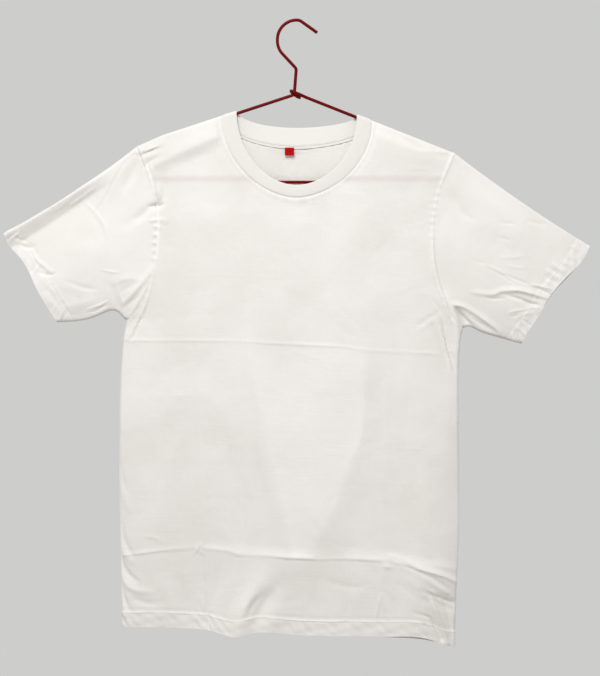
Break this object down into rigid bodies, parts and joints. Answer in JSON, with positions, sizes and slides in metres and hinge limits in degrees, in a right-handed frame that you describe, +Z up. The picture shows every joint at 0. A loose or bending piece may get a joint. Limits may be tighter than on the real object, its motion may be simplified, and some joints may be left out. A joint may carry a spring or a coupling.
{
  "type": "crew neck t-shirt on a wire hanger",
  "caption": "Short-sleeved crew neck t-shirt in white jersey, hanging flat on a dark red coated wire hanger.",
  "frame": {"origin": "under the crown of the hanger's hook, on the wire's lower side, where a peg or rail carries it", "axes": "+Z up, +X to the right as seen from the front, the shirt's front towards -Y; the hanger lies in the XZ plane"},
  "size_m": [0.818, 0.0431, 0.8785],
  "materials": {
    "jersey": "matt off-white cotton jersey, fine knit",
    "rib": "matt off-white rib knit",
    "label": "red woven satin, bare",
    "coated_wire": "dark red glossy plastic coat on steel wire"
  },
  "bodies": {
    "root": {"front_panel": "jersey", "back_panel": "jersey", "right_sleeve": "jersey", "left_sleeve": "jersey", "neck_rib": "rib", "neck_tape": "jersey", "size_label": "label", "hanger_wire": "coated_wire"}
  },
  "joints": []
}
